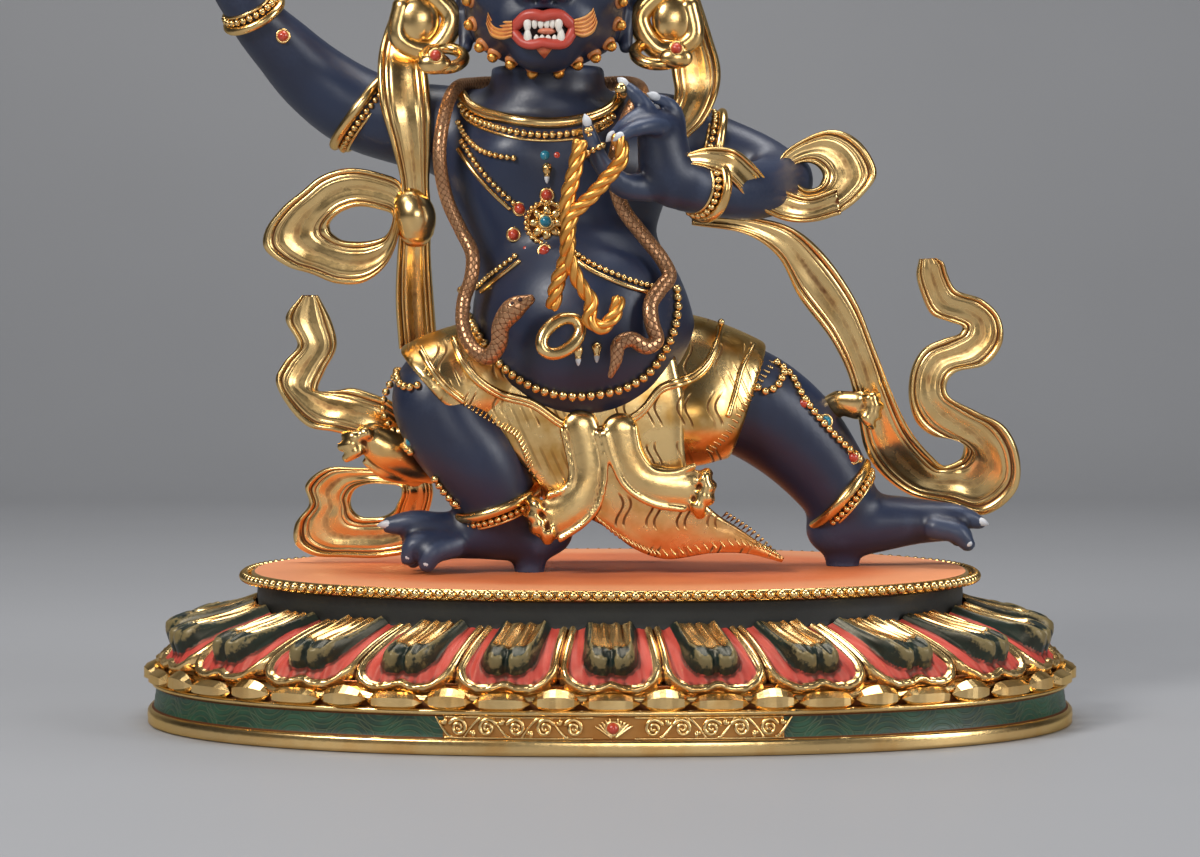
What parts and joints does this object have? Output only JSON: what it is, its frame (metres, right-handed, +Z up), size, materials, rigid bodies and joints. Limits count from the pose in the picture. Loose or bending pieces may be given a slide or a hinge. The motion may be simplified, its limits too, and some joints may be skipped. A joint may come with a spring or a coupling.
{
  "type": "painted and gilded deity statue on a lotus plinth",
  "caption": "Stout wrathful deity striding on an oval lotus plinth, raised hand with a vajra, noose in the other, swirling gilt scarves, skull crown and upswept hair.",
  "frame": {"origin": "middle of the plinth's underside", "axes": "+Z up, +X to the viewer's right seen from the front, -Y towards the viewer"},
  "size_m": [0.203, 0.1307, 0.2134],
  "materials": {
    "body_paint": "matte blue-black paint over cast copper, with fire gilding on its dress and jewellery",
    "gilding": "bright fire gilding with brown patina in the grooves",
    "copper_gilding": "coppery gilding rubbed brown, cut with scales",
    "rope_gilding": "orange gilding on a twisted rope",
    "lotus_paint": "matte coral-red, green and orange paint with gilt edges",
    "coral": "polished red cabochon",
    "turquoise": "polished blue cabochon"
  },
  "bodies": {
    "root": {"lotus_plinth": "lotus_paint", "figure": "body_paint", "shoulder_scarf": "gilding", "arm_scarf": "gilding", "knee_scarf": "gilding", "skull_crown": "gilding", "vajra": "gilding", "earring_left": "gilding", "earring_right": "gilding", "snake_garland": "copper_gilding", "noose": "rope_gilding", "coral_1": "coral", "coral_2": "coral", "coral_3": "coral", "coral_4": "coral", "coral_5": "coral", "coral_6": "coral", "coral_7": "coral", "coral_8": "coral", "coral_9": "coral", "coral_10": "coral", "coral_11": "coral", "coral_12": "coral", "coral_13": "coral", "coral_14": "coral", "coral_15": "coral", "coral_16": "coral", "coral_17": "coral", "coral_18": "coral", "turquoise_1": "turquoise", "turquoise_2": "turquoise", "turquoise_3": "turquoise", "turquoise_4": "turquoise", "turquoise_5": "turquoise"}
  },
  "joints": []
}
